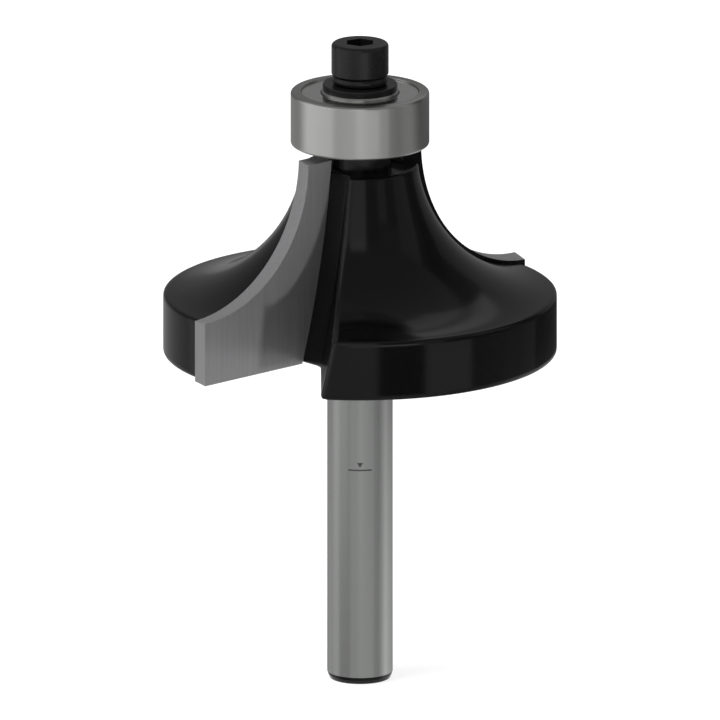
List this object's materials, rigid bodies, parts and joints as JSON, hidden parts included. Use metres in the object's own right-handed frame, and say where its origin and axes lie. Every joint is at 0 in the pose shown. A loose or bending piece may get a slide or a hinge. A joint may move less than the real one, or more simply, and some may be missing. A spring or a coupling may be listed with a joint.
{
  "type": "rounding-over router bit",
  "caption": "Rounding-over router bit with carbide tips, black body, plain shank and a guide bearing held by a socket screw.",
  "frame": {"origin": "centre of the flat end of the shank, on the bit's axis", "axes": "+Z along the axis from the shank end to the screw head, +X along one cutting edge's radius, with both cutting faces in the plane Y = 0"},
  "size_m": [0.0382, 0.036, 0.06],
  "materials": {
    "coated_steel": "satin black coat on the body, bare ground steel on the shank",
    "carbide": "ground carbide",
    "bearing_steel": "fine ground",
    "shield_sheet": "satin sheet",
    "cage_strip": "pressed strip",
    "polished_steel": "polished",
    "black_oxide": "black oxide"
  },
  "bodies": {
    "cutter": {"cutter_body": "coated_steel", "tip_a": "carbide", "tip_b": "carbide", "bearing_inner_ring": "bearing_steel", "flat_washer": "black_oxide", "spring_washer": "black_oxide", "cap_screw": "black_oxide"},
    "guide_ring": {"bearing_outer_ring": "bearing_steel", "shield_upper": "shield_sheet", "shield_lower": "shield_sheet"},
    "ball_cage": {"cage_upper": "cage_strip", "cage_lower": "cage_strip", "cage_rivets": "cage_strip"},
    "ball_1": {"ball_1": "polished_steel"},
    "ball_2": {"ball_2": "polished_steel"},
    "ball_3": {"ball_3": "polished_steel"},
    "ball_4": {"ball_4": "polished_steel"},
    "ball_5": {"ball_5": "polished_steel"},
    "ball_6": {"ball_6": "polished_steel"},
    "ball_7": {"ball_7": "polished_steel"}
  },
  "joints": [
    {"name": "guide_spin", "type": "hinge", "parent": "cutter", "child": "guide_ring", "pos_m": [0, 0, 0.05299], "axis": [0, 0, 1], "continuous": true},
    {"name": "cage_spin", "type": "hinge", "parent": "cutter", "child": "ball_cage", "pos_m": [0, 0, 0.05299], "axis": [0, 0, 1], "continuous": true},
    {"name": "ball_1_roll", "type": "hinge", "parent": "ball_cage", "child": "ball_1", "pos_m": [0.00272, 0.00341, 0.05299], "axis": [0, 0, 1], "continuous": true},
    {"name": "ball_2_roll", "type": "hinge", "parent": "ball_cage", "child": "ball_2", "pos_m": [-0.00097, 0.00426, 0.05299], "axis": [0, 0, 1], "continuous": true},
    {"name": "ball_3_roll", "type": "hinge", "parent": "ball_cage", "child": "ball_3", "pos_m": [-0.00393, 0.00189, 0.05299], "axis": [0, 0, 1], "continuous": true},
    {"name": "ball_4_roll", "type": "hinge", "parent": "ball_cage", "child": "ball_4", "pos_m": [-0.00393, -0.00189, 0.05299], "axis": [0, 0, 1], "continuous": true},
    {"name": "ball_5_roll", "type": "hinge", "parent": "ball_cage", "child": "ball_5", "pos_m": [-0.00097, -0.00426, 0.05299], "axis": [0, 0, 1], "continuous": true},
    {"name": "ball_6_roll", "type": "hinge", "parent": "ball_cage", "child": "ball_6", "pos_m": [0.00272, -0.00341, 0.05299], "axis": [0, 0, 1], "continuous": true},
    {"name": "ball_7_roll", "type": "hinge", "parent": "ball_cage", "child": "ball_7", "pos_m": [0.00437, 0, 0.05299], "axis": [0, 0, 1], "continuous": true}
  ],
  "couplings": [
    {"joint": "cage_spin", "follows": "guide_spin", "ratio": 0.63636},
    {"joint": "ball_1_roll", "follows": "guide_spin", "ratio": 1.697},
    {"joint": "ball_2_roll", "follows": "guide_spin", "ratio": 1.697},
    {"joint": "ball_3_roll", "follows": "guide_spin", "ratio": 1.697},
    {"joint": "ball_4_roll", "follows": "guide_spin", "ratio": 1.697},
    {"joint": "ball_5_roll", "follows": "guide_spin", "ratio": 1.697},
    {"joint": "ball_6_roll", "follows": "guide_spin", "ratio": 1.697},
    {"joint": "ball_7_roll", "follows": "guide_spin", "ratio": 1.697}
  ]
}
